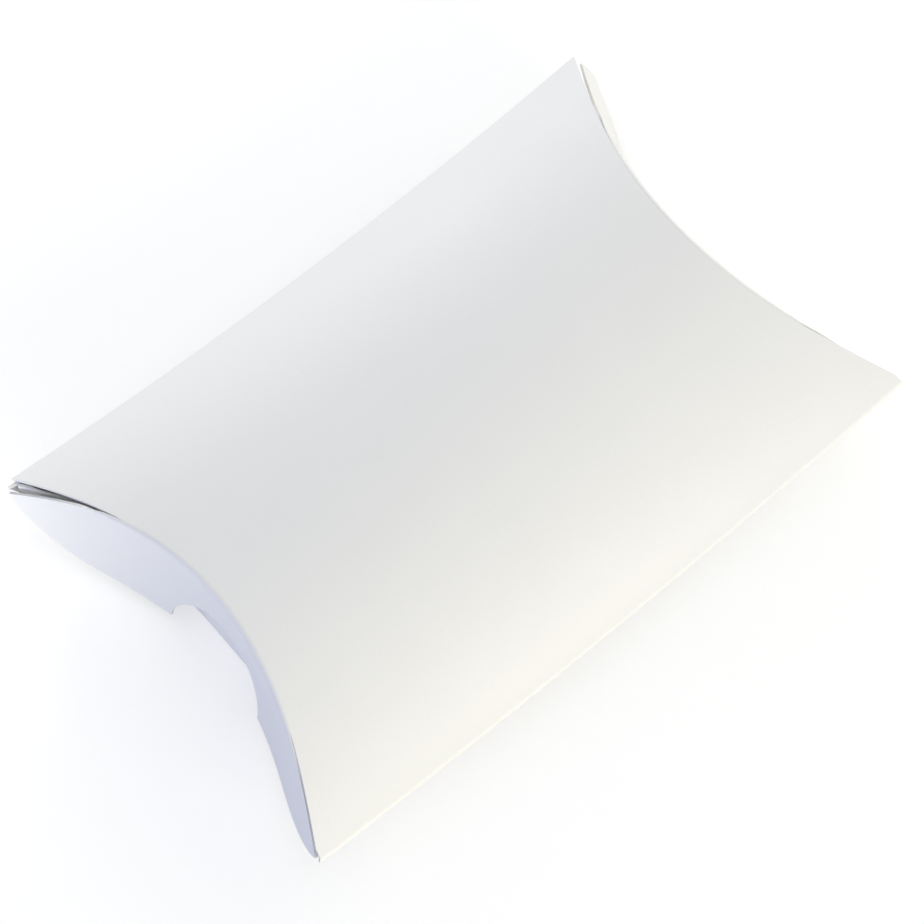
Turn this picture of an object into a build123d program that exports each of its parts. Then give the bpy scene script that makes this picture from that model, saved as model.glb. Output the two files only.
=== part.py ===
from build123d import *
import os
from math import asin, degrees, hypot, sqrt

os.makedirs("parts", exist_ok=True)

# Pillow box folded from one blank of white board. Lengths in millimetres.
# X runs along the box, Y across it and Z up. The origin lies on the surface the box stands on,
# under the middle of the box. Left is -X, front is -Y.

# Driving sizes of the folded box
box_length = 120.0
box_width = 80.0
crown_rise = 10.5
crown_drop = 13.5
end_inset = 13.0
rest_width = 8.0
side_bow = 4.9
board = 0.45

# Side fold at the front, and glued seam at the back
fold_radius = 0.9
fold_strip_width = 1.6
seam_strip_width = 2.8
tab_width = 14.0
tab_end_setback = 6.0
tab_end_taper = 8.0
seam_edge_inset = 0.65
seam_corner_cut = 2.0
seam_corner_bulge = 0.7
seam_corner_length = 14.0
glue_thickness = 0.1
glue_clearance = 0.02
glue_width = 8.0
glue_margin = 3.0

# Outer flaps, hung from the top panel
crease_gap = 0.2
outer_flap_reach = 10.0
outer_flap_straight = 48.0
outer_corner_relief = 2.0
outer_tip_reach = 1.2
notch_radius = 11.0
slit_start = 23.0
slit_middle = 1.1
slit_width = 2.4

# Inner flaps, hung from the bottom panel
inner_flap_depth = 18.5
inner_corner_relief = 7.0
inner_tip_depth = 2.0

# How far a cutting tool runs past what it cuts
overrun = 5.0

# Number of sections that a bowed piece is drawn through
bow_sections = 7

half_length = box_length / 2
half_width = box_width / 2
tool_reach = 2 * end_inset + overrun
fold_line_height = crown_drop
glue_gap = glue_thickness + 2 * glue_clearance


def crown_radius(rise, flat):
    """Radius of a panel's bend, from its height over the fold lines and its flattened middle."""
    span = half_width - flat / 2
    return (span ** 2 + rise ** 2) / (2 * rise)


def crown_height(rise, flat, y):
    """Height of a panel's outer face over the fold lines at a distance y from the middle."""
    radius = crown_radius(rise, flat)
    reach = max(abs(y) - flat / 2, 0)
    return sqrt(radius ** 2 - reach ** 2) - (radius - rise)


def crease_x(rise, flat, y):
    """How far inside the box's corner line the curved crease lies, at a distance y from the middle."""
    return end_inset * crown_height(rise, flat, y) / rise


def crown_edges(rise, flat, inset, stretch):
    """Upper edge of a panel's section, from back to front, lowered by inset and stretched upwards."""
    radius = crown_radius(rise, flat)
    low = degrees(asin((radius - rise) / (radius - inset)))
    centre = (rise - radius) * stretch
    wide = radius - inset
    tall = wide * stretch
    back = EllipticalCenterArc((flat / 2, centre), wide, tall, start_angle=low, arc_size=90 - low)
    front = EllipticalCenterArc((-flat / 2, centre), wide, tall, start_angle=90, arc_size=90 - low)
    if flat == 0:
        return [back, front]
    top = Line(back @ 1, front @ 0)
    return [back, top, front]


def crown_face(rise, flat, inset):
    """Section between a panel's face and the level of the fold lines."""
    edges = crown_edges(rise, flat, inset, 1)
    return make_face(edges + [Line(edges[-1] @ 1, edges[0] @ 0)])


def side_sag(x):
    """How far the side folds have sagged under their ends, at a place along the box."""
    return side_bow * (1 - (x / half_length) ** 2)


def bow_places():
    """Places along the box at which a bowed piece's sections are drawn."""
    steps = bow_sections - 1
    return [half_length * (2 * i / steps - 1) for i in range(bow_sections)]


def across(x):
    """Plane across the box at x: its own x runs along Y and its own y runs up."""
    return Plane(origin=(x, 0, 0), x_dir=(0, 1, 0), z_dir=(1, 0, 0))


def board_shell(rise, flat, inset, x_from, x_to):
    """Bent board with its upper face lying inset under the panel's face, between two places along X."""
    section = crown_face(rise, flat, inset) - crown_face(rise, flat, inset + board)
    return extrude(across(x_from) * section, amount=x_to - x_from)


def bowed_shell(rise, flat, sag_share, inset, thickness):
    """Sheet bent about X along the whole box. Its sides sag with the side folds, its crown is level."""
    sections = []
    for x in bow_places():
        sag = sag_share * side_sag(x)
        face = crown_face(rise + sag, flat, inset) - crown_face(rise + sag, flat, inset + thickness)
        sections.append(across(x) * (Pos(0, -sag) * face))
    return loft(sections)


def slab(x_from, x_to, y_from, y_to, z_from, z_to):
    """Block between two places along each axis."""
    block = Box(x_to - x_from, y_to - y_from, z_to - z_from, align=(Align.MIN, Align.MIN, Align.MIN))
    return Pos(x_from, y_from, z_from) * block


def crease_plane(rise):
    """Plane that holds the left curved crease: its own y runs from the corner line up to the crown."""
    return Plane(origin=(-half_length, 0, 0), x_dir=(0, 1, 0), z_dir=(rise, 0, -end_inset))


def beyond_crease(rise, flat, gap):
    """Everything past the left curved crease. Its wall halves the angle between panel and flap."""
    stretch = hypot(end_inset, rise) / rise
    edges = crown_edges(rise, flat, 0, stretch)
    back = edges[0] @ 0
    front = edges[-1] @ 1
    low_back = back - Vector(0, tool_reach)
    low_front = front - Vector(0, tool_reach)
    outline = edges + [Line(front, low_front), Line(low_front, low_back), Line(low_back, back)]
    face = Pos(0, -gap) * make_face(outline)
    return extrude(crease_plane(rise) * face, amount=tool_reach, both=True)


def both_ends(tool):
    """A left tool and its image at the right end."""
    return [tool, mirror(tool, about=Plane.YZ)]


def panel(rise, flat, sag_share, y_front, y_back):
    """Panel bent about X, creased at both ends. Sag_share is 1 for the top and -1 for the bottom."""
    shell = bowed_shell(rise, flat, sag_share, 0, board)
    shell &= slab(-half_length, half_length, y_front, y_back, -box_width, box_width)
    if flat > 0:
        shell -= slab(-box_length, box_length, -flat / 2, flat / 2, -box_width, box_width)
        shell += slab(-half_length, half_length, -flat / 2, flat / 2, rise - board, rise)
    for tool in both_ends(beyond_crease(rise, flat, 0)):
        shell -= tool
    return shell


def flap_blank(rise, flat, x_from):
    """Board beyond the left curved crease, drawn on top of the panel's face: folding turns it over."""
    shell = board_shell(rise, flat, -board, x_from, -half_length + end_inset)
    return shell & beyond_crease(rise, flat, crease_gap)


def folded(blank, rise):
    """A flap folded down, as the mirror image of its blank in the crease's plane."""
    return mirror(blank, about=crease_plane(rise))


def upright(face):
    """Plan shape carried through the board, and past it on both sides."""
    return extrude(face, amount=tool_reach, both=True)


def outer_flap_plan():
    """Outline of the outer flap on the blank: straight free edge with two rounded shoulders."""
    edge_x = -half_length - outer_flap_reach
    tip_x = -half_length - outer_tip_reach
    tip_y = half_width - outer_corner_relief
    end_y = outer_flap_straight / 2
    root_x = -half_length + end_inset
    edge = Line((edge_x, -end_y), (edge_x, end_y))
    back = TangentArc((edge_x, end_y), (tip_x, tip_y), tangent=(0, 1))
    front = TangentArc((edge_x, -end_y), (tip_x, -tip_y), tangent=(0, -1))
    closing = Polyline((tip_x, tip_y), (root_x, tip_y), (root_x, -tip_y), (tip_x, -tip_y))
    return make_face([edge, back, closing, front])


def leaving_crease(y_from, y_to, middle_offset, end_offset):
    """Arc that leaves the left top crease at y_from, and runs at these distances inside it further on."""
    middle_y = (y_from + y_to) / 2
    start = (crease_x(crown_rise, 0, y_from) - half_length, y_from)
    middle = (crease_x(crown_rise, 0, middle_y) - half_length + middle_offset, middle_y)
    end = (crease_x(crown_rise, 0, y_to) - half_length + end_offset, y_to)
    return ThreePointArc(start, middle, end)


def corner_slit():
    """Tapered relief slit beside the back end of the crease, on the blank of the outer flap."""
    tip_y = half_width - outer_corner_relief
    arc = leaving_crease(slit_start, tip_y, -slit_middle, -slit_width)
    start = arc @ 0
    end = arc @ 1
    outside = (end.X, tip_y + overrun)
    inside = (start.X, tip_y + overrun)
    return make_face([arc, Polyline(end, outside, inside, start)])


def seam_corner():
    """Tapered cut along the top panel's crease, up to its left corner at the seam."""
    tip_y = half_width - seam_edge_inset
    arc = leaving_crease(tip_y - seam_corner_length, tip_y, seam_corner_bulge, seam_corner_cut)
    start = arc @ 0
    end = arc @ 1
    far_x = -half_length - overrun
    outside = [(end.X, tip_y + overrun), (far_x, tip_y + overrun), (far_x, start.Y)]
    return make_face([arc, Polyline(end, *outside, start)])


def outer_flap():
    """Left outer flap, with its thumb notch."""
    blank = flap_blank(crown_rise, 0, -half_length - outer_flap_reach - overrun)
    blank &= upright(outer_flap_plan())
    notch_centre = Pos(-half_length - outer_flap_reach, 0)
    blank -= upright(notch_centre * Circle(notch_radius))
    slit = upright(corner_slit())
    blank -= slit
    blank -= mirror(slit, about=Plane.XZ)
    return folded(blank, crown_rise)


def inner_flap_plan():
    """Outline of the inner flap on the blank: one shallow arc with cut-off tips."""
    tip_y = half_width - inner_corner_relief
    tip_x = -half_length + crease_x(crown_drop, rest_width, tip_y) - inner_tip_depth
    root_x = -half_length + end_inset
    crown_x = root_x - inner_flap_depth
    edge = ThreePointArc((tip_x, -tip_y), (crown_x, 0), (tip_x, tip_y))
    closing = Polyline((tip_x, tip_y), (root_x, tip_y), (root_x, -tip_y), (tip_x, -tip_y))
    return make_face([edge, closing])


def inner_flap():
    """Left inner flap, drawn as if it hung from the top."""
    blank = flap_blank(crown_drop, rest_width, -half_length - inner_flap_depth)
    blank &= upright(inner_flap_plan())
    return folded(blank, crown_drop)


def bend_disc(rise, flat, inset):
    """Round that a panel's back half follows, lowered by inset."""
    radius = crown_radius(rise, flat)
    return Pos(flat / 2, rise - radius) * Circle(radius - inset)


def fold_section(top_inset, width, sag):
    """Section of the folded edge at the back, with the top leg lying top_inset under the top face."""
    rise = crown_rise + sag
    drop = crown_drop - sag
    lower = mirror(bend_disc(drop, rest_width, 0), about=Plane.XZ)
    lower_inside = mirror(bend_disc(drop, rest_width, board), about=Plane.XZ)
    outside = bend_disc(rise, 0, top_inset) & lower
    inside = bend_disc(rise, 0, top_inset + board) & lower_inside
    window = Pos(half_width - width, 0) * Rectangle(box_width, box_width, align=(Align.MIN, Align.CENTER))
    section = (outside - inside) & window
    nose = section.vertices().sort_by(Axis.X)[-1]
    return fillet(nose, fold_radius)


def fold_strip(top_inset, width):
    """Rounded fold along the back, cut at its ends by the creases of both panels."""
    sections = []
    for x in bow_places():
        sag = side_sag(x)
        sections.append(across(x) * (Pos(0, -sag) * fold_section(top_inset, width, sag)))
    strip = loft(sections)
    upper = slab(-box_length, box_length, -box_width, box_width, 0, box_width)
    lower = slab(-box_length, box_length, -box_width, box_width, -box_width, 0)
    top_tool = beyond_crease(crown_rise, 0, 0) & upper
    bottom_tool = mirror(beyond_crease(crown_drop, rest_width, 0), about=Plane.XY) & lower
    for tool in both_ends(top_tool) + both_ends(bottom_tool):
        strip -= tool
    return strip


def glue_tab():
    """Tab turned in at the seam, under the top panel, with slanted ends."""
    inset = board + glue_gap
    root_y = half_width - seam_strip_width
    edge_y = root_y - tab_width
    root_x = half_length - tab_end_setback
    edge_x = root_x - tab_end_taper
    shell = bowed_shell(crown_rise, 0, 1, inset, board)
    root = [(-root_x, root_y), (root_x, root_y)]
    edge = [(edge_x, edge_y), (-edge_x, edge_y)]
    plan = make_face(Polyline(*root, *edge, close=True))
    return shell & upright(plan)


def glue_line():
    """Film of glue between the tab and the top panel, lying clear of both by a hair."""
    x_to = half_length - tab_end_setback - tab_end_taper - glue_margin
    y_to = half_width - seam_strip_width - glue_margin
    film = bowed_shell(crown_rise, 0, 1, board + glue_clearance, glue_thickness)
    return film & slab(-x_to, x_to, y_to - glue_width, y_to, -box_width, box_width)


def as_bottom(shape):
    """Turn a piece drawn for the top over, so that it belongs to the bottom panel."""
    return mirror(shape, about=Plane.XY)


top_panel = panel(crown_rise, 0, 1, fold_strip_width - half_width, half_width - seam_edge_inset)
for tool in both_ends(upright(seam_corner())):
    top_panel -= tool
seam_root_y = half_width - seam_strip_width
bottom_panel = panel(crown_drop, rest_width, -1, fold_strip_width - half_width, seam_root_y)
outer_flap_left = outer_flap()
inner_flap_left = as_bottom(inner_flap())

pieces = {
    "top_panel": top_panel,
    "bottom_panel": as_bottom(bottom_panel),
    "side_fold": mirror(fold_strip(0, fold_strip_width), about=Plane.XZ),
    "seam_fold": fold_strip(board + glue_gap, seam_strip_width),
    "glue_tab": glue_tab(),
    "glue_line": glue_line(),
    "outer_flap_left": outer_flap_left,
    "outer_flap_right": mirror(outer_flap_left, about=Plane.YZ),
    "inner_flap_left": inner_flap_left,
    "inner_flap_right": mirror(inner_flap_left, about=Plane.YZ),
}

for name, piece in pieces.items():
    standing = Pos(0, 0, fold_line_height) * piece
    export_step(standing, "parts/" + name + ".step")
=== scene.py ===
"""White pillow box, folded from one blank of board. Lengths in metres.

X runs along the box, Y across it and Z up. Left is -X, front is -Y, and the glued seam is at +Y.
"""

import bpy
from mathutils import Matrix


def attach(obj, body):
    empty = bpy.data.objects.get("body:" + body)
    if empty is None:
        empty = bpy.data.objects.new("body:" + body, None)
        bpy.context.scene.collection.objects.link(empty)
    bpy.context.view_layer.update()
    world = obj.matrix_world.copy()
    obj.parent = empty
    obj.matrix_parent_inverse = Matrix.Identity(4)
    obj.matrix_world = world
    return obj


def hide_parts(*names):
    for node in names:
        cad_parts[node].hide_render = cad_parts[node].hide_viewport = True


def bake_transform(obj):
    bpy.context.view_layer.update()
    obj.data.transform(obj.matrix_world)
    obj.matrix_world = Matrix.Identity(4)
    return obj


bl_info = {
    "name": "Pillow Box",
    "version": (1, 0, 0),
    "blender": (4, 5, 0),
    "location": "View3D > Sidebar > Pillow Box",
    "description": "Builds a white pillow box with opening end flaps",
    "category": "Add Mesh",
}

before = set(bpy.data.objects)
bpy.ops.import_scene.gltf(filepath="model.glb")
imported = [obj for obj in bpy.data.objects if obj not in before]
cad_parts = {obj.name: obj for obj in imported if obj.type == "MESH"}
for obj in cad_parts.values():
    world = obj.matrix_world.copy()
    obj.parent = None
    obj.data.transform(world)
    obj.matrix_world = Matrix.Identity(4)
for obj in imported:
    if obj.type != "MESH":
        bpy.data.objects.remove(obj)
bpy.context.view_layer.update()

import math

import bmesh
import bpy
from mathutils import Matrix, Vector, noise

MM = 0.001

# Sizes of the folded box that the frame holds
HALF_LENGTH = 60.0 * MM
HALF_WIDTH = 40.0 * MM
CROWN_RISE = 10.5 * MM
CROWN_DROP = 13.5 * MM
END_INSET = 13.0 * MM
REST_WIDTH = 8.0 * MM

# Side fold, seam and tab. The top panel's corners at the seam are cut back, by a share per side,
# -1 for left and 1 for right.
FOLD_EDGE_Y = HALF_WIDTH - 1.6 * MM
SEAM_EDGE_Y = HALF_WIDTH - 0.65 * MM
SEAM_CUT_LENGTH = 20.0 * MM
SEAM_CUT_MIDDLE = 0.95 * MM
SEAM_CUT_END = 2.0 * MM
SEAM_CUT_SHARE = {-1: 1.0, 1: 0.3}
FOLD_END_X = HALF_LENGTH - 0.66 * MM
TAB_ROOT_Y = HALF_WIDTH - 2.8 * MM
TAB_EDGE_Y = TAB_ROOT_Y - 14.0 * MM
TAB_ROOT_X = HALF_LENGTH - 6.0 * MM
TAB_EDGE_X = TAB_ROOT_X - 8.0 * MM
TAB_CLEARANCE = 1.0 * MM
GLUE_GAP = 0.14 * MM

# How far over and under its fold line a long fold passes from one panel's sag to the other's
SAG_BLEND = 1.0 * MM

# Outer flaps
FLAP_REACH = 10.0 * MM
FLAP_STRAIGHT_Y = 24.0 * MM
FLAP_TIP_Y = HALF_WIDTH - 2.0 * MM
FLAP_TIP_REACH = 1.2 * MM
SLIT_Y = 23.0 * MM
SLIT_MIDDLE = 1.1 * MM
SLIT_END = 2.1 * MM

# How the outer flaps lie in the photograph. Both are pressed in round the notch: how deep, where,
# and how far down the flap and to its sides this takes to come in and to fade. The right flap
# flares at its back: how far, from where to where, and how far down the flap it takes to come in.
# The left notch is a little off the middle. The keys are the sides, -1 for left and 1 for right.
PRESS_DEPTH = 2.0 * MM
PRESS_Y = -3.0 * MM
PRESS_RUN = 12 * MM
PRESS_FADE = (4 * MM, 30 * MM)
FLARE = {-1: 0.0, 1: 2.0 * MM}
FLARE_RUN = 7 * MM
FLARE_Y = (10 * MM, 30 * MM)
NOTCH_Y = {-1: -1.6 * MM, 1: 0.0}

# Where the rounded creases start to get sharper, as a distance from the middle, and the least
# length over which the board still turns
CREASE_FADE_Y = 12.0 * MM
LEAST_SETBACK = 0.001 * MM

# Where rubbing fades on both sides of an end crease, on both sides of a long fold, and at a slit
CREASE_RUB = (0.3 * MM, 1.4 * MM)
FOLD_RUB = (0.6 * MM, 2.2 * MM)
SLIT_RUB = 1 * MM

# Inner flaps
INNER_DEPTH = 18.5 * MM
INNER_TIP_Y = HALF_WIDTH - 2.5 * MM
INNER_TIP_DEPTH = 2.6 * MM

# The inner flaps' ears lean out towards the outer flap: how far, over which distances from the
# middle this comes in and fades, and how far up the flap it takes to come in
EAR_LEAN = 0.9 * MM
EAR_IN_Y = (18 * MM, 30 * MM)
EAR_OUT_Y = (33 * MM, INNER_TIP_Y)
EAR_RUN = 5 * MM

# How far past its crease a flap's rows lie close together, measured straight across the crease
BEND_SPAN = 10.5 * MM

# How finely the sheets are divided: rows and columns, degrees between the notch's columns, and how
# much closer together the wrapped sheet's columns lie at its ends. Solver steps find a crease.
SHEET_COLUMNS = 80
PANEL_ROWS = 64
FOLD_ROWS = 8
TAB_ROWS = 12
FLAP_ROWS = 64
CREASE_ROWS = 8
BEND_ROWS = 44
INNER_COLUMNS = 60
SHOULDER_COLUMNS = 28
NOTCH_STEP = 6
END_CROWDING = 1.15
SOLVER_STEPS = 12

# Faint waves in the panels: how often they come along X and Y, where each panel takes them from,
# and how far from the ends and the long folds they fade
RIPPLE_X = 24.0
RIPPLE_Y = 34.0
TOP_RIPPLE = 3.7
LOW_RIPPLE = 9.1
RIPPLE_END_FADE = 22 * MM
RIPPLE_SIDE_FADE = 14 * MM

# Softened cut edges
EDGE_ROUND = 0.05 * MM
EDGE_ANGLE = 50

# Camera, found from the photograph: the angle it looks along, its distance and its framing
CAMERA_AZIMUTH = 38.01
CAMERA_ELEVATION = 66.91
CAMERA_ROLL = -2.41
CAMERA_DISTANCE = 410.3 * MM
CAMERA_TARGET = Vector((0.0, 0.0, CROWN_DROP))
FOCAL_PIXELS = 2617.0
PICTURE_PIXELS = 924.0
PRINCIPAL_POINT = (455.8, 433.3)
SENSOR_WIDTH = 36.0
CLIP_START = 10 * MM
CLIP_END = 20.0

# Floor: its half width, and how brightly it glows for the camera
FLOOR_REACH = 3.0
FLOOR_GLOW = 0.47

# Sizes of the board's pattern, as noise scales per metre of flat board
CLOUD_SCALE = 55.0
FIBRE_SCALE = 2600.0
FELT_SCALE = 900.0
SPECK_SCALE = 1700.0
CRACK_SCALE = 3200.0
LAYER_SCALE = 900.0
FLUFF_SCALE = 2400.0

# The middle of a noise's range, where most of it lies
NOISE_MIDDLE = (0.3, 0.7)


class PillowBoxSizes(bpy.types.PropertyGroup):
    """Sizes of the board and its folds."""

    board: bpy.props.FloatProperty(
        name="Board thickness",
        description="Thickness of the board",
        default=0.45 * MM, min=0.1 * MM, max=1.0 * MM, unit="LENGTH", precision=5,
    )
    fold_radius: bpy.props.FloatProperty(
        name="Side fold radius",
        description="Outer radius of the two long folds",
        default=0.9 * MM, min=0.5 * MM, max=2.0 * MM, unit="LENGTH", precision=5,
    )
    crease_setback: bpy.props.FloatProperty(
        name="Crease setback",
        description="How far beside a curved crease the board starts to turn",
        default=0.65 * MM, min=0.3 * MM, max=1.5 * MM, unit="LENGTH", precision=5,
    )
    notch_radius: bpy.props.FloatProperty(
        name="Thumb notch radius",
        description="Radius of the half-round thumb notch in each outer flap",
        default=11.0 * MM, min=4.0 * MM, max=16.0 * MM, unit="LENGTH", precision=5,
    )
    side_bow: bpy.props.FloatProperty(
        name="Side bow",
        description="How far the side folds sag halfway along the box",
        default=4.9 * MM, min=0.0, max=8.0 * MM, unit="LENGTH", precision=5,
    )
    ripple: bpy.props.FloatProperty(
        name="Ripple",
        description="Height of the faint waves in the panels",
        default=0.1 * MM, min=0.0, max=1.0 * MM, unit="LENGTH", precision=5,
    )


class PillowBoxColours(bpy.types.PropertyGroup):
    """Colours of the board, the glue and the floor."""

    face: bpy.props.FloatVectorProperty(
        name="Board face",
        description="Colour of the smooth outer face of the board",
        default=(0.86, 0.86, 0.86), min=0.0, max=1.0, subtype="COLOR",
    )
    back: bpy.props.FloatVectorProperty(
        name="Board back",
        description="Colour of the unfinished inner face of the board",
        default=(0.85, 0.845, 0.835), min=0.0, max=1.0, subtype="COLOR",
    )
    cut: bpy.props.FloatVectorProperty(
        name="Cut edge",
        description="Colour of the board where it was cut",
        default=(0.8, 0.795, 0.785), min=0.0, max=1.0, subtype="COLOR",
    )
    glue: bpy.props.FloatVectorProperty(
        name="Glue",
        description="Colour of the dried glue in the seam",
        default=(0.78, 0.74, 0.6), min=0.0, max=1.0, subtype="COLOR",
    )
    floor: bpy.props.FloatVectorProperty(
        name="Floor",
        description="Colour of the floor",
        default=(0.65, 0.65, 0.65), min=0.0, max=1.0, subtype="COLOR",
    )


def smooth(a, b, value):
    """Rises smoothly from 0 at a to 1 at b."""
    t = min(max((value - a) / (b - a), 0.0), 1.0)
    return t * t * (3.0 - 2.0 * t)


def crown_radius(rise, flat):
    """Radius of a panel's bend, from its height over the fold lines and its flattened middle."""
    span = HALF_WIDTH - flat / 2
    return (span ** 2 + rise ** 2) / (2 * rise)


def crown_height(rise, flat, y):
    """Height of a panel's outer face over the fold lines at a distance y from the middle."""
    radius = crown_radius(rise, flat)
    reach = max(abs(y) - flat / 2, 0.0)
    return math.sqrt(radius ** 2 - reach ** 2) - (radius - rise)


def side_sag(x, sizes):
    """How far the side folds have sagged under their ends, at a place along the box."""
    return sizes.side_bow * (1.0 - min(abs(x) / HALF_LENGTH, 1.0) ** 2)


def top_z(x, y, sizes, inset=0.0):
    """Height of the top panel's outer face, or of a sheet that lies inset under it."""
    rise = CROWN_RISE + side_sag(x, sizes)
    radius = crown_radius(rise, 0.0)
    return CROWN_DROP + CROWN_RISE - radius + math.sqrt((radius - inset) ** 2 - y * y)


def low_z(x, y, sizes):
    """Height of the bottom panel's outer face."""
    drop = CROWN_DROP - side_sag(x, sizes)
    return drop - crown_height(drop, REST_WIDTH, y)


def crease_inset(y, sizes):
    """How far inside the box's corner line the top panel's curved crease lies, at a place y."""
    x = HALF_LENGTH
    for _ in range(SOLVER_STEPS):
        x = HALF_LENGTH - END_INSET * (top_z(x, y, sizes) - CROWN_DROP) / CROWN_RISE
    return HALF_LENGTH - x


def low_crease_inset(y, sizes):
    """The same for the bottom panel's curved crease."""
    x = HALF_LENGTH
    for _ in range(SOLVER_STEPS):
        x = HALF_LENGTH - END_INSET * (CROWN_DROP - low_z(x, y, sizes)) / CROWN_DROP
    return HALF_LENGTH - x


def arc_through(first, middle, last):
    """The arc through three points (x, y), as a function that gives x at a y."""
    (x1, y1), (x2, y2), (x3, y3) = first, middle, last
    a = x1 * (y2 - y3) - y1 * (x2 - x3) + x2 * y3 - x3 * y2
    s1, s2, s3 = (x * x + y * y for x, y in (first, middle, last))
    cx = -(s1 * (y3 - y2) + s2 * (y1 - y3) + s3 * (y2 - y1)) / (2 * a)
    cy = -(s1 * (x2 - x3) + s2 * (x3 - x1) + s3 * (x1 - x2)) / (2 * a)
    radius = math.hypot(x1 - cx, y1 - cy)
    side = 1.0 if x2 > cx else -1.0
    return lambda y: cx + side * math.sqrt(max(radius ** 2 - (y - cy) ** 2, 0.0))


def leaving_crease(y_from, y_to, middle, end, sizes):
    """Arc that leaves the top crease at y_from, as its distance from that crease at a y."""
    y_half = (y_from + y_to) / 2
    arc = arc_through(
        (crease_inset(y_from, sizes), y_from),
        (crease_inset(y_half, sizes) + middle, y_half),
        (crease_inset(y_to, sizes) + end, y_to),
    )
    return lambda y: abs(arc(y) - crease_inset(y, sizes)) if y > y_from else 0.0


def fold_turn(rise):
    """Angle through which the board turns at a curved crease."""
    return math.pi - 2 * math.atan2(END_INSET, rise)


def turned(setback, turn, s):
    """Point (outward, down) at a distance s past a crease. The turn starts setback before it."""
    if s <= -setback:
        return s, 0.0
    if s >= setback:
        return s * math.cos(turn), s * math.sin(turn)
    radius = setback / math.tan(turn / 2)
    angle = turn * (s + setback) / (2 * setback)
    return radius * math.sin(angle) - setback, radius * (1 - math.cos(angle))


def sagged(x, y, z, sizes):
    """Height of a point of a long fold, moved down by the sag."""
    edge = min(abs(y), FOLD_EDGE_Y)
    upper = top_z(x, edge, sizes) - top_z(HALF_LENGTH, edge, sizes)
    lower = low_z(x, edge, sizes) - low_z(HALF_LENGTH, edge, sizes)
    share = smooth(CROWN_DROP - SAG_BLEND, CROWN_DROP + SAG_BLEND, z)
    return z + share * upper + (1.0 - share) * lower


def ripple(x, y, up, sizes):
    """Faint waves of a panel, which fade towards its ends and folds."""
    calm = smooth(HALF_LENGTH, HALF_LENGTH - RIPPLE_END_FADE, abs(x))
    calm *= smooth(HALF_WIDTH, HALF_WIDTH - RIPPLE_SIDE_FADE, abs(y))
    waves = noise.noise(Vector((x * RIPPLE_X, y * RIPPLE_Y, TOP_RIPPLE if up else LOW_RIPPLE)))
    return sizes.ripple * calm * waves


def fold_arc(top_inset, radius):
    """Round of the fold on the +Y side, across the box: its centre, and its ends as angles."""
    top_radius = crown_radius(CROWN_RISE, 0)
    low_radius = crown_radius(CROWN_DROP, REST_WIDTH)
    top_centre = Vector((0.0, CROWN_DROP + CROWN_RISE - top_radius))
    low_centre = Vector((REST_WIDTH / 2, low_radius))
    r1 = top_radius - top_inset - radius
    r2 = low_radius - radius
    across = low_centre - top_centre
    gap = across.length
    along = (r1 ** 2 - r2 ** 2 + gap ** 2) / (2 * gap)
    off = math.sqrt(r1 ** 2 - along ** 2)
    unit = across / gap
    centre = top_centre + unit * along + Vector((unit.y, -unit.x)) * off
    upper = centre - top_centre
    lower = centre - low_centre
    return centre, math.atan2(upper.y, upper.x), math.atan2(lower.y, lower.x)


def arc_stations(centre, radius, start, end, count, mirror_y):
    """Stations (y, z) along a fold's round."""
    stations = []
    for i in range(count + 1):
        angle = start + (end - start) * i / count
        y = centre.x + radius * math.cos(angle)
        stations.append((-y if mirror_y else y, centre.y + radius * math.sin(angle)))
    return stations


def sheet_stations(sizes):
    """The sheet's section from the top panel's free edge round to the glue tab, as (y, z, part)."""
    radius = sizes.fold_radius
    front = arc_stations(*fold_span(0.0, radius), FOLD_ROWS, True)
    seam = arc_stations(*fold_span(sizes.board + GLUE_GAP, radius), FOLD_ROWS, False)
    top_end = front[0][0]
    low_end = front[-1][0]
    low_width = seam[-1][0] - low_end
    tab_start = seam[0][0]
    top = [SEAM_EDGE_Y + (top_end - SEAM_EDGE_Y) * i / PANEL_ROWS for i in range(PANEL_ROWS)]
    low = [low_end + low_width * i / PANEL_ROWS for i in range(1, PANEL_ROWS)]
    tab = [tab_start + (TAB_EDGE_Y - tab_start) * i / TAB_ROWS for i in range(1, TAB_ROWS + 1)]
    stations = [(y, top_z(HALF_LENGTH, y, sizes), "top") for y in top]
    stations += [(y, z, "fold") for y, z in front]
    stations += [(y, low_z(HALF_LENGTH, y, sizes), "low") for y in low]
    stations += [(y, z, "seam") for y, z in reversed(seam)]
    inset = sizes.board + GLUE_GAP
    stations += [(y, top_z(HALF_LENGTH, y, sizes, inset), "tab") for y in tab]
    return stations


def fold_span(top_inset, radius):
    """Centre, radius and both angles of a side fold's round."""
    centre, start, end = fold_arc(top_inset, radius)
    return centre, radius, start, end


def sheet_end(y, part, sizes, corner_cut):
    """How far from the middle the sheet ends at a station."""
    if part == "tab":
        share = (TAB_ROOT_Y - y) / (TAB_ROOT_Y - TAB_EDGE_Y)
        tapered = TAB_ROOT_X + (TAB_EDGE_X - TAB_ROOT_X) * share
        return min(tapered, HALF_LENGTH - crease_inset(y, sizes) - TAB_CLEARANCE)
    if part == "top":
        return HALF_LENGTH - crease_inset(y, sizes) - crease_start(y, sizes) - corner_cut(y)
    if part == "low":
        return HALF_LENGTH - low_crease_inset(y, sizes) - low_crease_start(y, sizes)
    inset = max(crease_inset(y, sizes), low_crease_inset(y, sizes))
    return min(HALF_LENGTH - inset, FOLD_END_X)


def crease_start(y, sizes):
    """How far beside the top crease the outer flap's turn starts."""
    return sizes.crease_setback * (1.0 - smooth(CREASE_FADE_Y, FLAP_TIP_Y, abs(y)))


def low_crease_start(y, sizes):
    """How far beside the bottom crease the inner flap's turn starts."""
    return sizes.crease_setback * (1.0 - smooth(CREASE_FADE_Y, INNER_TIP_Y, abs(y)))


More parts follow.
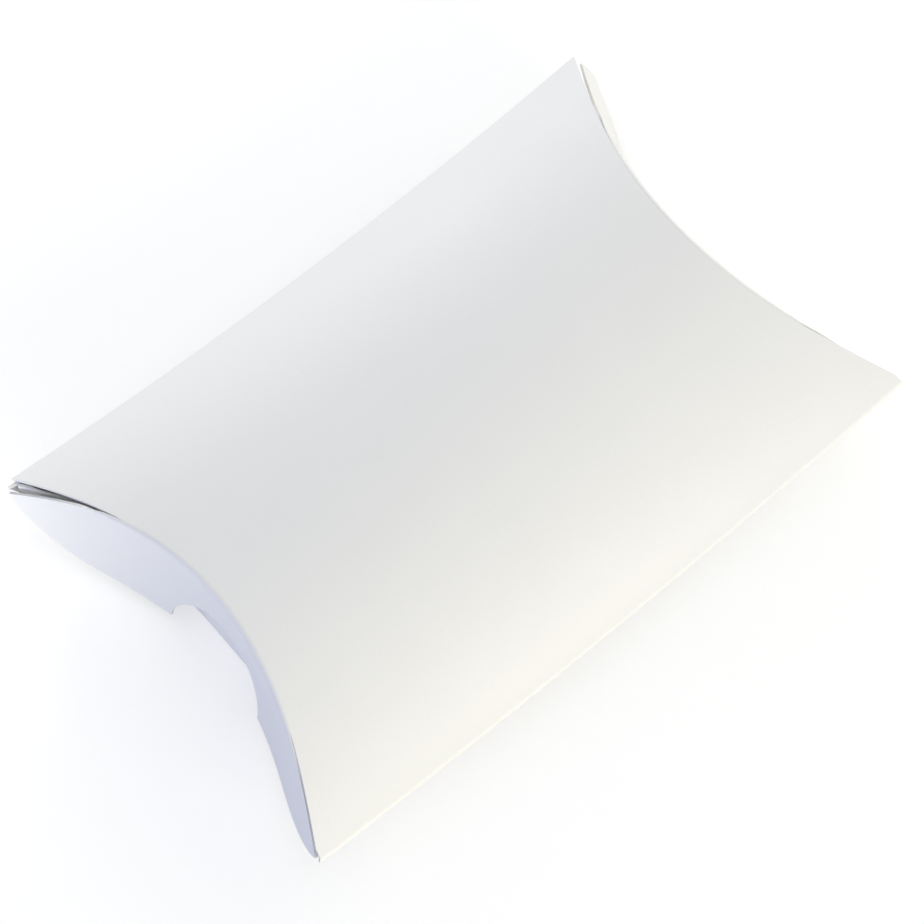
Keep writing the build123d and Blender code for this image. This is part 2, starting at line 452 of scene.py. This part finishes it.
def new_sheet(rows, columns, place):
    """Bmesh grid with its points moved.

    place(row, column) gives a point, its place on the flat blank and how much it lies on a crease.
    """
    bm = bmesh.new()
    bmesh.ops.create_grid(bm, x_segments=rows, y_segments=columns, size=1.0)
    flat = bm.verts.layers.float_vector.new("flat_place")
    crease = bm.verts.layers.float.new("crease")
    for vert in bm.verts:
        row = round((vert.co.x + 1.0) / 2.0 * rows)
        column = round((vert.co.y + 1.0) / 2.0 * columns)
        vert.co, vert[flat], vert[crease] = place(row, column)
    return bm


def facing(bm, direction, near):
    """Turn all faces so that the one nearest to a point faces along a direction."""
    bm.normal_update()
    face = min(bm.faces, key=lambda f: (f.calc_center_median() - near).length)
    if face.normal.dot(direction) < 0:
        bmesh.ops.reverse_faces(bm, faces=bm.faces[:])
        bm.normal_update()


def given_thickness(bm, board):
    """Turn an open sheet into board: face, back and cut edges, with material numbers 0, 1 and 2."""
    flat = bm.verts.layers.float_vector["flat_place"]
    face_verts = set(bm.verts)
    bmesh.ops.solidify(bm, geom=bm.faces[:], thickness=board)
    back_verts = {v for v in bm.verts if v not in face_verts}
    for vert in back_verts:
        vert[flat] = vert[flat] + Vector((0.0, 0.0, board))
    for face in bm.faces:
        on_back = sum(v in back_verts for v in face.verts)
        if on_back == len(face.verts):
            face.material_index = 1
        elif on_back:
            face.material_index = 2
        else:
            face.material_index = 0
        face.smooth = True


def finished(bm, name, materials):
    """Object from a bmesh, with its materials and slightly softened cut edges."""
    mesh = bpy.data.meshes.new(name)
    bm.to_mesh(mesh)
    bm.free()
    obj = bpy.data.objects.new(name, mesh)
    bpy.context.scene.collection.objects.link(obj)
    for material in materials:
        mesh.materials.append(material)
    edges = obj.modifiers.new("Softened cut edges", "BEVEL")
    edges.limit_method = "ANGLE"
    edges.angle_limit = math.radians(EDGE_ANGLE)
    edges.width = EDGE_ROUND
    edges.segments = 2
    edges.profile = 0.5
    shading = obj.modifiers.new("Even shading", "WEIGHTED_NORMAL")
    shading.keep_sharp = True
    return obj


def outer_flap(name, side, sizes, materials):
    """Outer flap with its half of the crease, its slits and its notch. Side is -1 left, 1 right."""
    turn = fold_turn(CROWN_RISE)
    shoulder_y = FLAP_STRAIGHT_Y + 0.5 * (FLAP_TIP_Y - FLAP_STRAIGHT_Y)
    corner_arc = arc_through(
        (FLAP_REACH, FLAP_STRAIGHT_Y),
        (FLAP_REACH - rounded_shoulder(0.5), shoulder_y),
        (FLAP_TIP_REACH, FLAP_TIP_Y),
    )
    slit = leaving_slit(sizes)
    notch = sizes.notch_radius
    spots = flap_columns(notch, NOTCH_Y[side])

    def reach(y):
        away = abs(y)
        from_notch = abs(y - NOTCH_Y[side])
        if from_notch < notch:
            return FLAP_REACH - math.sqrt(max(notch ** 2 - from_notch ** 2, 0.0))
        if away <= FLAP_STRAIGHT_Y:
            return FLAP_REACH
        return corner_arc(away)

    def place(row, column):
        y = spots[column]
        inset = crease_inset(y, sizes)
        setback = crease_start(y, sizes)
        start = slit(abs(y)) - setback
        depth = inset + reach(y)
        s = flap_row(row, start, depth, sizes.crease_setback)
        outward, down = turned(max(setback, LEAST_SETBACK), turn, s)
        x = HALF_LENGTH - inset + outward + flap_lean(side, y, s)
        root = CROWN_DROP + CROWN_RISE * inset / END_INSET
        bent = still_panel(s, setback) * (top_z(x, y, sizes) - root)
        point = Vector((side * x, y, root - down + bent))
        flat = Vector((side * (HALF_LENGTH - inset + s), y, 0.0))
        crease = 1.0 - smooth(*CREASE_RUB, abs(s))
        crease *= 1.0 - smooth(SLIT_Y, SLIT_Y + SLIT_RUB, abs(y))
        return point, flat, crease

    bm = new_sheet(FLAP_ROWS, len(spots) - 1, place)
    outside = Vector((side * (HALF_LENGTH - END_INSET + 3 * MM), 20 * MM, CROWN_DROP))
    facing(bm, Vector((side, 0.0, 0.2)), outside)
    given_thickness(bm, sizes.board)
    return finished(bm, name, materials)


def still_panel(s, setback):
    """How much a point of a crease's turn still follows its panel's height: 1 at its start."""
    return 1.0 - smooth(-setback, setback, s) if s < setback else 0.0


def flap_lean(side, y, s):
    """How far an outer flap flares outward at its back, less how far it is pressed in."""
    near_notch = 1.0 - smooth(*PRESS_FADE, abs(y - PRESS_Y))
    pressed = PRESS_DEPTH * smooth(0.0, PRESS_RUN, s) * near_notch
    return FLARE[side] * smooth(0.0, FLARE_RUN, s) * smooth(*FLARE_Y, y) - pressed


def rounded_shoulder(share):
    """How far the shoulder's arc has fallen from the straight edge at a share of its width."""
    drop = FLAP_REACH - FLAP_TIP_REACH
    width = FLAP_TIP_Y - FLAP_STRAIGHT_Y
    radius = (width ** 2 + drop ** 2) / (2 * drop)
    return radius - math.sqrt(radius ** 2 - (share * width) ** 2)


def leaving_slit(sizes):
    """Distance of the outer flap's root from the crease, where its slit has cut it free."""
    y_half = (SLIT_Y + FLAP_TIP_Y) / 2
    arc = arc_through(
        (crease_inset(SLIT_Y, sizes), SLIT_Y),
        (crease_inset(y_half, sizes) - SLIT_MIDDLE, y_half),
        (crease_inset(FLAP_TIP_Y, sizes) - SLIT_END, FLAP_TIP_Y),
    )
    return lambda y: max(crease_inset(y, sizes) - arc(y), 0.0) if y > SLIT_Y else 0.0


def flap_columns(notch, centre):
    """Places across an outer flap, closer together at the notch's corners."""
    count = SHOULDER_COLUMNS
    middle = [centre + notch * math.sin(math.radians(a)) for a in range(-90, 91, NOTCH_STEP)]
    front = [middle[0] - (FLAP_TIP_Y + middle[0]) * i / count for i in range(count, 0, -1)]
    back = [middle[-1] + (FLAP_TIP_Y - middle[-1]) * i / count for i in range(1, count + 1)]
    return front + middle + back


def flap_row(row, start, depth, setback):
    """Distance of a flap's row from the crease: fine in the turn and the bend, wider below them."""
    length = depth - start
    turn_end = start + min(2 * setback, length * 0.3)
    bend_end = start + min(BEND_SPAN, length * 0.8)
    if row <= CREASE_ROWS:
        return start + (turn_end - start) * row / CREASE_ROWS
    if row <= CREASE_ROWS + BEND_ROWS:
        return turn_end + (bend_end - turn_end) * (row - CREASE_ROWS) / BEND_ROWS
    rest = FLAP_ROWS - CREASE_ROWS - BEND_ROWS
    return bend_end + (depth - bend_end) * (row - CREASE_ROWS - BEND_ROWS) / rest


def inner_flap(name, side, sizes, materials):
    """Inner flap with its half of the crease and its curved free edge. Side is -1 left, 1 right."""
    turn = fold_turn(CROWN_DROP)
    tip_inset = low_crease_inset(INNER_TIP_Y, sizes)
    edge = arc_through(
        (tip_inset - INNER_TIP_DEPTH, -INNER_TIP_Y),
        (END_INSET - INNER_DEPTH, 0.0),
        (tip_inset - INNER_TIP_DEPTH, INNER_TIP_Y),
    )

    def place(row, column):
        y = INNER_TIP_Y * (2.0 * column / INNER_COLUMNS - 1.0)
        inset = low_crease_inset(y, sizes)
        setback = low_crease_start(y, sizes)
        depth = inset - edge(y)
        s = flap_row(row, -setback, depth, sizes.crease_setback)
        outward, up = turned(max(setback, LEAST_SETBACK), turn, s)
        ear = smooth(*EAR_IN_Y, abs(y)) * (1.0 - smooth(*EAR_OUT_Y, abs(y)))
        x = HALF_LENGTH - inset + outward + EAR_LEAN * ear * smooth(0.0, EAR_RUN, s)
        root = CROWN_DROP * (1.0 - inset / END_INSET)
        bent = still_panel(s, setback) * (low_z(x, y, sizes) - root)
        point = Vector((side * x, y, root + up + bent))
        flat = Vector((side * (HALF_LENGTH - inset + s), y + 4 * HALF_WIDTH, 0.0))
        crease = 1.0 - smooth(*CREASE_RUB, abs(s))
        return point, flat, crease

    bm = new_sheet(FLAP_ROWS, INNER_COLUMNS, place)
    facing(bm, Vector((side, 0.0, 0.0)), Vector((side * (HALF_LENGTH - END_INSET), 0.0, 8 * MM)))
    given_thickness(bm, sizes.board)
    return finished(bm, name, materials)


def wrapped_sheet(name, sizes, materials):
    """Both panels, the side fold, the seam fold and the glue tab, as the one sheet they are."""
    stations = sheet_stations(sizes)
    lengths = [0.0]
    for before, after in zip(stations, stations[1:]):
        lengths.append(lengths[-1] + math.hypot(after[0] - before[0], after[1] - before[1]))
    cut_from = SEAM_EDGE_Y - SEAM_CUT_LENGTH
    corner_cut = leaving_crease(cut_from, SEAM_EDGE_Y, SEAM_CUT_MIDDLE, SEAM_CUT_END, sizes)
    ends = {
        side: [sheet_end(y, part, sizes, lambda y: cut * corner_cut(y)) for y, _, part in stations]
        for side, cut in SEAM_CUT_SHARE.items()
    }
    fold_at = [lengths[i] for i, station in enumerate(stations) if station[2] == "fold"]
    seam_at = [lengths[i] for i, station in enumerate(stations) if station[2] == "seam"]
    fold_middle = (fold_at[0] + fold_at[-1]) / 2
    seam_middle = (seam_at[0] + seam_at[-1]) / 2

    def place(row, column):
        y, z, part = stations[row]
        share = 2.0 * column / SHEET_COLUMNS - 1.0
        share = math.copysign(1.0 - (1.0 - abs(share)) ** END_CROWDING, share)
        x = ends[1 if share > 0 else -1][row] * share
        if part == "top":
            z = top_z(x, y, sizes) + ripple(x, y, True, sizes)
        elif part == "low":
            z = low_z(x, y, sizes) + ripple(x, y, False, sizes)
        elif part == "tab":
            z = top_z(x, y, sizes, sizes.board + GLUE_GAP) + ripple(x, y, True, sizes)
        else:
            z = sagged(x, y, z, sizes)
        point = Vector((x, y, z))
        flat = Vector((x, SEAM_EDGE_Y - lengths[row], 0.0))
        from_fold = min(abs(lengths[row] - fold_middle), abs(lengths[row] - seam_middle))
        crease = 1.0 - smooth(*FOLD_RUB, from_fold)
        return point, flat, crease

    bm = new_sheet(len(stations) - 1, SHEET_COLUMNS, place)
    facing(bm, Vector((0.0, 0.0, 1.0)), Vector((0.0, 0.0, CROWN_DROP + CROWN_RISE)))
    given_thickness(bm, sizes.board)
    return finished(bm, name, materials)


class Nodes:
    """Short way to write a material's nodes."""

    def __init__(self, name):
        self.material = bpy.data.materials.new(name)
        self.material.use_nodes = True
        self.tree = self.material.node_tree
        self.tree.nodes.clear()
        self.output = self.add("ShaderNodeOutputMaterial")

    def add(self, kind, **values):
        node = self.tree.nodes.new(kind)
        for key, value in values.items():
            setattr(node, key, value)
        return node

    def link(self, a, b):
        self.tree.links.new(a, b)

    def stretched(self, source, scale):
        """A place with its axes scaled."""
        node = self.add("ShaderNodeMapping")
        node.inputs["Scale"].default_value = scale
        self.link(source, node.inputs["Vector"])
        return node.outputs["Vector"]

    def noise(self, place, scale, detail=2.0, roughness=0.5):
        node = self.add("ShaderNodeTexNoise")
        node.inputs["Scale"].default_value = scale
        node.inputs["Detail"].default_value = detail
        node.inputs["Roughness"].default_value = roughness
        self.link(place, node.inputs["Vector"])
        return node.outputs["Fac"]

    def ranged(self, value, low, high, to_low, to_high):
        node = self.add("ShaderNodeMapRange")
        values = {"From Min": low, "From Max": high, "To Min": to_low, "To Max": to_high}
        for key, number in values.items():
            node.inputs[key].default_value = number
        self.link(value, node.inputs["Value"])
        return node.outputs["Result"]

    def maths(self, operation, a, b):
        node = self.add("ShaderNodeMath", operation=operation)
        for socket, value in zip(node.inputs, (a, b)):
            if isinstance(value, (int, float)):
                socket.default_value = value
            else:
                self.link(value, socket)
        return node.outputs[0]

    def mixed(self, factor, a, b, blend="MIX"):
        """Two colours mixed by a factor."""
        node = self.add("ShaderNodeMix", data_type="RGBA", blend_type=blend)
        for socket, value in ((node.inputs[0], factor), (node.inputs[6], a), (node.inputs[7], b)):
            if isinstance(value, (int, float)):
                socket.default_value = value
            elif isinstance(value, (tuple, list)):
                socket.default_value = (*value[:3], 1.0)
            else:
                self.link(value, socket)
        return node.outputs[2]

    def bump(self, height, strength, distance, normal=None):
        node = self.add("ShaderNodeBump")
        node.inputs["Strength"].default_value = strength
        node.inputs["Distance"].default_value = distance
        self.link(height, node.inputs["Height"])
        if normal is not None:
            self.link(normal, node.inputs["Normal"])
        return node.outputs["Normal"]

    def surface(self, colour, roughness, normal, specular=0.5):
        shader = self.add("ShaderNodeBsdfPrincipled")
        self.link(colour, shader.inputs["Base Color"])
        self.link(roughness, shader.inputs["Roughness"])
        self.link(normal, shader.inputs["Normal"])
        shader.inputs["Specular IOR Level"].default_value = specular
        self.link(shader.outputs[0], self.output.inputs["Surface"])
        return shader


def darker(colour, share):
    """A colour scaled down."""
    return tuple(c * share for c in colour)


def board_material(name, colour, fibre, relief, gloss):
    """Board with clouds, fibres, specks and rubbed creases. Fibre and relief set the strength."""
    n = Nodes(name)
    place = n.add("ShaderNodeAttribute", attribute_name="flat_place").outputs["Vector"]
    crease = n.add("ShaderNodeAttribute", attribute_name="crease").outputs["Fac"]
    clouds = n.noise(place, CLOUD_SCALE, 3.0, 0.55)
    fibres = n.noise(n.stretched(place, (0.35, 1.0, 1.0)), FIBRE_SCALE, 3.0, 0.6)
    felt = n.noise(place, FELT_SCALE, 2.0, 0.5)
    specks = n.noise(place, SPECK_SCALE, 0.0, 0.5)
    tone = n.mixed(n.ranged(clouds, *NOISE_MIDDLE, 0.0, 1.0), darker(colour, 0.985), colour)
    tone = n.mixed(n.ranged(fibres, *NOISE_MIDDLE, fibre, 0.0), tone, darker(colour, 0.85))
    tone = n.mixed(n.ranged(specks, 0.76, 0.84, 0.0, 0.08), tone, darker(colour, 0.7))
    rubbed = n.maths("MULTIPLY", crease, n.ranged(felt, 0.35, 0.65, 0.15, 1.0))
    tone = n.mixed(n.maths("MULTIPLY", rubbed, 0.35), tone, darker(colour, 0.93))
    rough = n.ranged(clouds, *NOISE_MIDDLE, gloss - 0.05, gloss + 0.05)
    rough = n.maths("ADD", rough, n.maths("MULTIPLY", rubbed, 0.12))
    height = n.maths("ADD", n.maths("MULTIPLY", fibres, 0.6), n.maths("MULTIPLY", felt, 0.4))
    cracks = n.noise(n.stretched(place, (1.0, 0.2, 1.0)), CRACK_SCALE, 2.0, 0.6)
    cracked = n.maths("MULTIPLY", crease, n.ranged(cracks, 0.5, 0.75, 0.0, 0.8))
    height = n.maths("SUBTRACT", height, cracked)
    n.surface(tone, rough, n.bump(height, relief, 0.02 * MM))
    return n.material


def cut_material(name, colour):
    """Cut edge of the board: thin layers of fibre."""
    n = Nodes(name)
    place = n.add("ShaderNodeAttribute", attribute_name="flat_place").outputs["Vector"]
    layers = n.noise(n.stretched(place, (1.0, 1.0, 14.0)), LAYER_SCALE, 3.0, 0.6)
    fluff = n.noise(place, FLUFF_SCALE, 2.0, 0.6)
    tone = n.mixed(n.ranged(layers, *NOISE_MIDDLE, 0.0, 1.0), darker(colour, 0.88), colour)
    tone = n.mixed(n.ranged(fluff, 0.4, 0.7, 0.0, 0.3), tone, darker(colour, 1.05))
    rough = n.ranged(fluff, *NOISE_MIDDLE, 0.8, 0.95)
    height = n.maths("ADD", layers, fluff)
    n.surface(tone, rough, n.bump(height, 0.5, 0.03 * MM), 0.3)
    return n.material


def glue_material(name, colour):
    """Dried glue: half clear, uneven and slightly glossy."""
    n = Nodes(name)
    place = n.add("ShaderNodeTexCoord").outputs["Object"]
    beads = n.noise(n.stretched(place, (0.4, 1.0, 1.0)), 420.0, 3.0, 0.5)
    skin = n.noise(place, 1600.0, 2.0, 0.5)
    tone = n.mixed(n.ranged(beads, *NOISE_MIDDLE, 0.0, 1.0), darker(colour, 0.8), colour)
    rough = n.ranged(skin, *NOISE_MIDDLE, 0.3, 0.5)
    height = n.maths("ADD", beads, n.maths("MULTIPLY", skin, 0.3))
    n.surface(tone, rough, n.bump(height, 0.6, 0.05 * MM))
    return n.material


def board_materials():
    """The board's face, back and cut edge, made once."""
    colours = bpy.context.scene.pillow_box_colours
    names = ("board face", "board back", "board cut edge")
    if all(name in bpy.data.materials for name in names):
        return [bpy.data.materials[name] for name in names]
    return [
        board_material(names[0], tuple(colours.face), 0.10, 0.35, 0.55),
        board_material(names[1], tuple(colours.back), 0.30, 0.6, 0.8),
        cut_material(names[2], tuple(colours.cut)),
    ]


class PILLOWBOX_OT_wrapped_sheet(bpy.types.Operator):
    """Build both panels, the two long folds and the glue tab as one sheet of board"""

    bl_idname = "pillowbox.wrapped_sheet"
    bl_label = "Panels and folds"

    def execute(self, context):
        sizes = context.scene.pillow_box_sizes
        sheet = wrapped_sheet("wrapped_sheet", sizes, board_materials())
        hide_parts("top_panel", "bottom_panel", "side_fold", "seam_fold", "glue_tab")
        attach(sheet, "carton")
        return {"FINISHED"}


class PILLOWBOX_OT_outer_flaps(bpy.types.Operator):
    """Build the two outer flaps, which hang from the top panel's curved creases"""

    bl_idname = "pillowbox.outer_flaps"
    bl_label = "Outer flaps"

    def execute(self, context):
        sizes = context.scene.pillow_box_sizes
        for end, side in (("left", -1), ("right", 1)):
            node = "outer_flap_" + end
            flap = outer_flap("outer_end_" + end, side, sizes, board_materials())
            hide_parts(node)
            bend_from_carton(flap)
        return {"FINISHED"}


class PILLOWBOX_OT_inner_flaps(bpy.types.Operator):
    """Build the two inner flaps, which stand up from the bottom panel's curved creases"""

    bl_idname = "pillowbox.inner_flaps"
    bl_label = "Inner flaps"

    def execute(self, context):
        sizes = context.scene.pillow_box_sizes
        for end, side in (("left", -1), ("right", 1)):
            node = "inner_flap_" + end
            flap = inner_flap("inner_end_" + end, side, sizes, board_materials())
            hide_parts(node)
            bend_from_carton(flap)
        return {"FINISHED"}


def bend_from_carton(flap):
    """Bakes the flap's placement into its mesh."""
    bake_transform(flap)


class PILLOWBOX_OT_glue_line(bpy.types.Operator):
    """Give the glue in the seam its finish"""

    bl_idname = "pillowbox.glue_line"
    bl_label = "Glue"

    def execute(self, context):
        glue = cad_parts["glue_line"]
        material = glue_material("dried glue", tuple(context.scene.pillow_box_colours.glue))
        glue.data.materials.clear()
        glue.data.materials.append(material)
        return {"FINISHED"}


def floor_material(colour):
    """Pale floor that keeps the box's shadow and reads as white, also in reflections."""
    n = Nodes("pale floor")
    place = n.add("ShaderNodeTexCoord").outputs["Object"]
    grain = n.noise(place, 300.0, 3.0, 0.5)
    tone = n.mixed(n.ranged(grain, *NOISE_MIDDLE, 0.0, 1.0), darker(colour, 0.99), colour)
    base = n.add("ShaderNodeBsdfDiffuse")
    n.link(tone, base.inputs["Color"])
    glow = n.add("ShaderNodeEmission")
    seen = n.add("ShaderNodeLightPath")
    looked_at = n.maths("MAXIMUM", seen.outputs["Is Camera Ray"], seen.outputs["Is Glossy Ray"])
    looked_at = n.maths("MAXIMUM", looked_at, seen.outputs["Is Transmission Ray"])
    n.link(n.maths("MULTIPLY", looked_at, FLOOR_GLOW), glow.inputs["Strength"])
    both = n.add("ShaderNodeAddShader")
    n.link(base.outputs[0], both.inputs[0])
    n.link(glow.outputs[0], both.inputs[1])
    n.link(both.outputs[0], n.output.inputs["Surface"])
    return n.material


def lamp(name, place, target, size, power, colour):
    """Soft square lamp at a place, turned to a target."""
    data = bpy.data.lights.new(name, "AREA")
    data.shape = "SQUARE"
    data.size = size
    data.energy = power
    data.color = colour
    obj = bpy.data.objects.new(name, data)
    obj.location = place
    obj.rotation_mode = "QUATERNION"
    obj.rotation_quaternion = (Vector(target) - Vector(place)).to_track_quat("-Z", "Y")
    bpy.context.scene.collection.objects.link(obj)
    return obj


# Soft lamps round the box: name, turn from +X towards +Y, height angle, and power in red, green
# and blue
LAMPS = [
    ("front left lamp", -120.0, 12.0, (1.00, 1.00, 0.60)),
    ("front lamp", -90.0, 12.0, (3.05, 2.82, 2.42)),
    ("left lamp", 180.0, 12.0, (0.0, 0.15, 1.15)),
    ("back lamp", 60.0, 12.0, (3.15, 2.95, 2.70)),
    ("seam lamp", 90.0, 12.0, (0.05, 0.20, 0.35)),
    ("high right lamp", 0.0, 38.0, (0.50, 0.50, 0.42)),
    ("right lamp", -10.0, 12.0, (1.20, 1.15, 1.00)),
]
LAMP_DISTANCE = 0.8
LAMP_SIZE = 0.4
LAMP_TARGET = (0.0, 0.0, 12.0 * MM)
# Small low lamp near the left back corner, which lights that end of the left flap
CORNER_LAMP_PLACE = (-90.0 * MM, 45.0 * MM, 9.0 * MM)
CORNER_LAMP_TARGET = (-56.0 * MM, 31.0 * MM, 10.0 * MM)
CORNER_LAMP_SIZE = 20.0 * MM
CORNER_LAMP_POWER = 0.0045
CORNER_LAMP_COLOUR = (1.0, 0.99, 0.85)
SKY_COLOUR = (0.967, 0.983, 1.0)
SKY_STRENGTH = 0.6


def add_lamps():
    for name, turn, height, powers in LAMPS:
        a, e = math.radians(turn), math.radians(height)
        power = max(powers)
        colour = tuple(share / power for share in powers)
        direction = (math.cos(a) * math.cos(e), math.sin(a) * math.cos(e), math.sin(e))
        lamp(name, LAMP_DISTANCE * Vector(direction), LAMP_TARGET, LAMP_SIZE, power, colour)
    corner = lamp(
        "corner lamp", CORNER_LAMP_PLACE, CORNER_LAMP_TARGET,
        CORNER_LAMP_SIZE, CORNER_LAMP_POWER, CORNER_LAMP_COLOUR,
    )
    corner.visible_camera = False


def add_world():
    """Plain sky that lights evenly, and is white where the camera sees it."""
    world = bpy.data.worlds.new("studio")
    world.use_nodes = True
    tree = world.node_tree
    tree.nodes.clear()
    output = tree.nodes.new("ShaderNodeOutputWorld")
    light = tree.nodes.new("ShaderNodeBackground")
    light.inputs["Color"].default_value = (*SKY_COLOUR, 1.0)
    light.inputs["Strength"].default_value = SKY_STRENGTH
    white = tree.nodes.new("ShaderNodeBackground")
    white.inputs["Color"].default_value = (1.0, 1.0, 1.0, 1.0)
    white.inputs["Strength"].default_value = 1.0
    seen = tree.nodes.new("ShaderNodeLightPath")
    mix = tree.nodes.new("ShaderNodeMixShader")
    tree.links.new(seen.outputs["Is Camera Ray"], mix.inputs[0])
    tree.links.new(light.outputs[0], mix.inputs[1])
    tree.links.new(white.outputs[0], mix.inputs[2])
    tree.links.new(mix.outputs[0], output.inputs["Surface"])
    bpy.context.scene.world = world


def add_camera():
    """Camera at the photograph's viewing angle."""
    az, el, roll = (math.radians(v) for v in (CAMERA_AZIMUTH, CAMERA_ELEVATION, CAMERA_ROLL))
    look = Vector((math.sin(az) * math.cos(el), math.cos(az) * math.cos(el), -math.sin(el)))
    right = Vector((math.cos(az), -math.sin(az), 0.0))
    up = right.cross(look)
    x_axis = right * math.cos(roll) + up * math.sin(roll)
    y_axis = up * math.cos(roll) - right * math.sin(roll)
    z_axis = -look
    data = bpy.data.cameras.new("camera")
    data.sensor_width = SENSOR_WIDTH
    data.lens = FOCAL_PIXELS / PICTURE_PIXELS * SENSOR_WIDTH
    data.shift_x = (PICTURE_PIXELS / 2 - PRINCIPAL_POINT[0]) / PICTURE_PIXELS
    data.shift_y = (PRINCIPAL_POINT[1] - PICTURE_PIXELS / 2) / PICTURE_PIXELS
    data.clip_start = CLIP_START
    data.clip_end = CLIP_END
    camera = bpy.data.objects.new("camera", data)
    turn = Matrix((x_axis, y_axis, z_axis)).transposed().to_4x4()
    camera.matrix_world = Matrix.Translation(CAMERA_TARGET - look * CAMERA_DISTANCE) @ turn
    bpy.context.scene.collection.objects.link(camera)
    bpy.context.scene.camera = camera


class PILLOWBOX_OT_stage(bpy.types.Operator):
    """Set up the floor, the soft lamps and the camera"""

    bl_idname = "pillowbox.stage"
    bl_label = "Stage"

    def execute(self, context):
        mesh = bpy.data.meshes.new("floor")
        bm = bmesh.new()
        bmesh.ops.create_grid(bm, x_segments=8, y_segments=8, size=FLOOR_REACH)
        bm.to_mesh(mesh)
        bm.free()
        floor = bpy.data.objects.new("floor", mesh)
        mesh.materials.append(floor_material(tuple(context.scene.pillow_box_colours.floor)))
        context.scene.collection.objects.link(floor)
        add_lamps()
        add_world()
        add_camera()
        context.scene.view_settings.view_transform = "Standard"
        return {"FINISHED"}


class PILLOWBOX_PT_panel(bpy.types.Panel):
    """Sidebar panel with the box's pieces, sizes and colours"""

    bl_idname = "PILLOWBOX_PT_panel"
    bl_label = "Pillow Box"
    bl_space_type = "VIEW_3D"
    bl_region_type = "UI"
    bl_category = "Pillow Box"

    def draw(self, context):
        column = self.layout.column()
        for operator in OPERATORS:
            column.operator(operator.bl_idname)
        for group in (context.scene.pillow_box_sizes, context.scene.pillow_box_colours):
            box = self.layout.box()
            for name in group.__annotations__:
                box.prop(group, name)


OPERATORS = (
    PILLOWBOX_OT_wrapped_sheet,
    PILLOWBOX_OT_outer_flaps,
    PILLOWBOX_OT_inner_flaps,
    PILLOWBOX_OT_glue_line,
    PILLOWBOX_OT_stage,
)
CLASSES = (PillowBoxSizes, PillowBoxColours, *OPERATORS, PILLOWBOX_PT_panel)


def register():
    for cls in CLASSES:
        bpy.utils.register_class(cls)
    bpy.types.Scene.pillow_box_sizes = bpy.props.PointerProperty(type=PillowBoxSizes)
    bpy.types.Scene.pillow_box_colours = bpy.props.PointerProperty(type=PillowBoxColours)


def unregister():
    del bpy.types.Scene.pillow_box_colours
    del bpy.types.Scene.pillow_box_sizes
    for cls in reversed(CLASSES):
        bpy.utils.unregister_class(cls)


def main():
    register()
    bpy.ops.pillowbox.wrapped_sheet()
    bpy.ops.pillowbox.outer_flaps()
    bpy.ops.pillowbox.inner_flaps()
    bpy.ops.pillowbox.glue_line()
    bpy.ops.pillowbox.stage()


if __name__ == "__main__":
    main()
